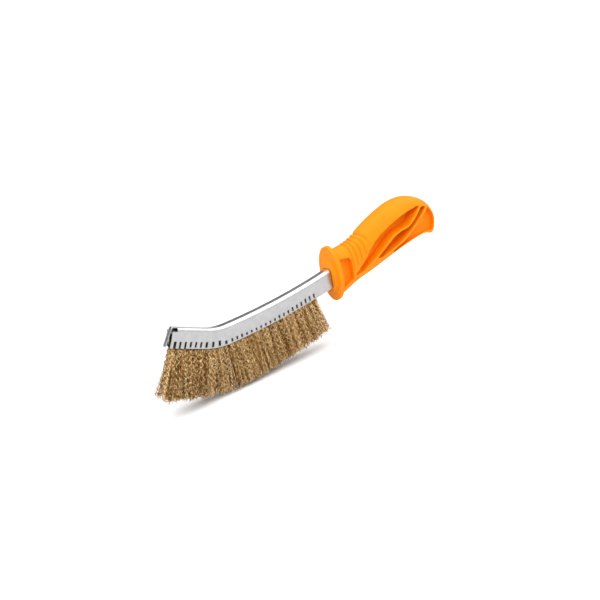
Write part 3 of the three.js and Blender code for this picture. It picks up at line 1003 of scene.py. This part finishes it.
wires = {
    "seed": 41,
    "hairpins": 50,  # in each bundle, each with two legs
    "diameter": 0.45,
    "sides": 4,
    "rootHalf": 3.3,  # half of the fill's width where it leaves the channel
    "tipHalf": 9.0,
    "spreadCurve": (0.85, 0.9),  # powers of the spread at the tips and along a wire
    "tipNoise": 0.7,
    "trimFront": 39.7,
    "trimHeel": 30.0,
    "trimNoise": 1.3,
    "step": 0.52,  # length between two points of a wire
    "wave": (3.0, 5.4),  # length of one crimp
    "swing": (0.8, 1.5),  # how far a crimp stands to each side
    "growth": (3, 0.35),  # length over which the crimps grow, from this share
    "twist": 0.05,  # radians for each millimetre
    "drift": (0.2, 1.1),
    "driftPace": (0.05, 0.14),
    "scatter": 6.5,  # degrees
    "leanLimits": (-9.0, 15.0),  # degrees, so that no wire leans far out of the front
    "stray": 0.12,  # share of the wires that are longer
    "strayReach": (0.8, 2.4),
    "usualReach": 0.35,
    "coreDepth": 4.4,
    "coreClear": (1.8, 2.15),  # radius of the turn over the core wire
    "noseSplay": -2.0,  # degrees, at the front end of the fill
    "heelSplay": -3.5,  # degrees, at its other end
    "splayBundles": 5,
}


def bundleLean(place):
    fromFront = np.maximum(1 - place / wires["splayBundles"], 0) ** 2
    fromHeel = np.maximum(1 - (channel["crimps"] - place) / wires["splayBundles"], 0) ** 2
    return np.radians(wires["noseSplay"] * fromFront - wires["heelSplay"] * fromHeel)


def legPaths(rng, index, place, side, turnRadius):
    # points of each leg from the top of its turn over the core to the trimmed tip
    count = len(place)
    height = channelSize["height"]
    share = (index + 0.5) / channel["crimps"]
    trim = wires["trimFront"] + (wires["trimHeel"] - wires["trimFront"]) * share
    distance = channel["first"] + channel["pitch"] * (index + place)
    rootY = rng.uniform(0.05, 1.0, count) * wires["rootHalf"]
    share = rootY / wires["rootHalf"]
    tipCurve, wireCurve = wires["spreadCurve"]
    tipY = share**tipCurve * wires["tipHalf"] + rng.normal(0, wires["tipNoise"], count)
    lean = np.tan(np.radians(rng.normal(0, wires["scatter"], count)))
    lean = np.clip(lean, *np.tan(np.radians(wires["leanLimits"])))
    longer = rng.random(count) < wires["stray"]
    reach = trim - np.abs(rng.normal(0, wires["trimNoise"], count))
    reach += np.where(longer, rng.uniform(*wires["strayReach"], count), wires["usualReach"])
    turns = np.linspace(0, math.pi / 2, 5)
    turnY = np.sin(turns)[None, :] * turnRadius[:, None]
    turnDepth = wires["coreDepth"] - np.cos(turns)[None, :] * turnRadius[:, None]
    ease = np.linspace(0, 1, 6)[None, 1:]
    insideY = turnRadius[:, None] * (1 - ease) + rootY[:, None] * ease
    insideDepth = np.repeat(wires["coreDepth"] + (height - wires["coreDepth"]) * ease, count, axis=0)
    steps = int(trim / wires["step"])
    run = np.linspace(0, 1, steps + 1)[None, 1:]
    free = run * reach[:, None]

    def drawn(low, high):
        return rng.uniform(low, high, count)[:, None]

    wave, swing = drawn(*wires["wave"]), drawn(*wires["swing"])
    plane = drawn(0, 2 * math.pi) + rng.normal(0, wires["twist"], count)[:, None] * free
    phase = drawn(0, 2 * math.pi) + 0.5 * np.sin(free * drawn(0.1, 0.25))
    growth, least = wires["growth"]
    crimp = swing * np.sin(2 * math.pi * free / wave + phase) * np.clip(free / growth + least, 0, 1)
    drift = []
    for _ in range(2):
        bend = np.sin(free * drawn(*wires["driftPace"]) + drawn(0, 6.3))
        drift.append(bend * drawn(*wires["drift"]) * (free / trim))
    spread = (tipY - rootY)[:, None] * (free / trim) ** wireCurve
    freeAlong = lean[:, None] * free + crimp * np.cos(plane) + drift[0]
    freeY = rootY[:, None] + spread + crimp * np.sin(plane) + drift[1]
    zero = np.zeros((count, turnY.shape[1] + insideY.shape[1]))
    along = np.concatenate([zero, freeAlong], axis=1)
    y = side * np.concatenate([turnY, insideY, freeY], axis=1)
    depth = np.concatenate([turnDepth, insideDepth, height + free], axis=1)
    x, z = railPoint(np.broadcast_to(distance[:, None], depth.shape), np.minimum(depth, height))
    angle = (railAngle(distance) - bundleLean(index + place))[:, None]
    below = np.maximum(depth - height, 0)
    x = x + below * np.sin(angle) + along * np.cos(angle)
    z = z - below * np.cos(angle) + along * np.sin(angle)
    return np.stack([x, y, z], axis=-1)


def tubeMesh(name, paths, radius, tones):
    # one tube of a few sides along each path, all in one mesh
    count, length = paths.shape[:2]
    sides = wires["sides"]
    tangent = np.gradient(paths, axis=1)
    tangent /= np.linalg.norm(tangent, axis=2, keepdims=True)
    first = np.cross(tangent, np.array([1.0, 0.0, 0.2]))
    first /= np.linalg.norm(first, axis=2, keepdims=True)
    second = np.cross(tangent, first)
    turn = np.arange(sides) * 2 * math.pi / sides
    ring = first[:, :, None, :] * np.cos(turn)[:, None] + second[:, :, None, :] * np.sin(turn)[:, None]
    points = placed((paths[:, :, None, :] + ring * radius).reshape(-1, 3))
    one = np.arange(length - 1)[:, None] * sides + np.arange(sides)[None, :]
    two = np.arange(length - 1)[:, None] * sides + (np.arange(sides)[None, :] + 1) % sides
    quads = np.stack([one, two, two + sides, one + sides], axis=-1).reshape(-1, 4)
    offsets = (np.arange(count) * length * sides)[:, None, None]
    quads = (quads[None] + offsets).reshape(-1, 4)
    caps = np.stack([np.arange(sides)[::-1], (length - 1) * sides + np.arange(sides)])
    caps = (caps[None] + offsets).reshape(-1, sides)
    mesh = bpy.data.meshes.new(name)
    corners = np.concatenate([quads.ravel(), caps.ravel()]).astype(np.int32)
    starts = np.concatenate([np.arange(len(quads)) * 4, len(quads) * 4 + np.arange(len(caps)) * sides])
    mesh.vertices.add(len(points))
    mesh.vertices.foreach_set("co", points.astype(np.float32).ravel())
    mesh.loops.add(len(corners))
    mesh.loops.foreach_set("vertex_index", corners)
    mesh.polygons.add(len(starts))
    mesh.polygons.foreach_set("loop_start", starts.astype(np.int32))
    mesh.update(calc_edges=True)
    smoothShading(mesh)
    tone = mesh.attributes.new("wireTone", "FLOAT", "POINT")
    tone.data.foreach_set("value", np.repeat(tones, length * sides).astype(np.float32))
    along = np.abs(np.linspace(-1, 1, length))
    run = mesh.attributes.new("wireRun", "FLOAT", "POINT")
    run.data.foreach_set("value", np.tile(np.repeat(along, sides), count).astype(np.float32))
    return mesh


def makeWires(index):
    rng = np.random.default_rng(wires["seed"] + index)
    count = wires["hairpins"]
    place = rng.uniform(0.04, 0.96, count)
    turnRadius = rng.uniform(*wires["coreClear"], count)
    near = legPaths(rng, index, place, -1, turnRadius)
    far = legPaths(rng, index, place, 1, turnRadius)
    paths = np.concatenate([near[:, ::-1], far[:, 1:]], axis=1)
    name = f"crimped_wires_{index + 1:02d}"
    piece = addObject(name, tubeMesh(name, paths, wires["diameter"] / 2, rng.random(count)))
    piece.data.materials.append(brassMaterial)
    return piece


makeCamera()
makeSky()
for number, softbox in enumerate(studio["softboxes"]):
    makeSoftbox(f"softbox{number + 1}", *softbox)
print("studio ready")

plasticMaterial = makePlastic()
platingMaterial = makePlating()
cutSteelMaterial = makeBareSteel("cutSteel")
coreSteelMaterial = makeBareSteel("drawnSteel")
brassMaterial = makeBrass()
print("materials ready")

mouldedHandle = makeHandle()
mouldedHandle.data.materials.append(plasticMaterial)
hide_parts("handle")
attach(mouldedHandle, "root")

crimpedChannel = makeChannel()
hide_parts("channel")
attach(crimpedChannel, "root")

for wireIndex in range(channel["crimps"]):
    bundle = makeWires(wireIndex)
    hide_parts(f"wire_bundle_{wireIndex + 1:02d}")
    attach(bundle, "root")
print("wires ready")

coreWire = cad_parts["core_wire"]
for slot in coreWire.material_slots:
    slot.material = coreSteelMaterial

makeFloor(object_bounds()[0].z)

bpy.context.scene.view_settings.view_transform = "Standard"
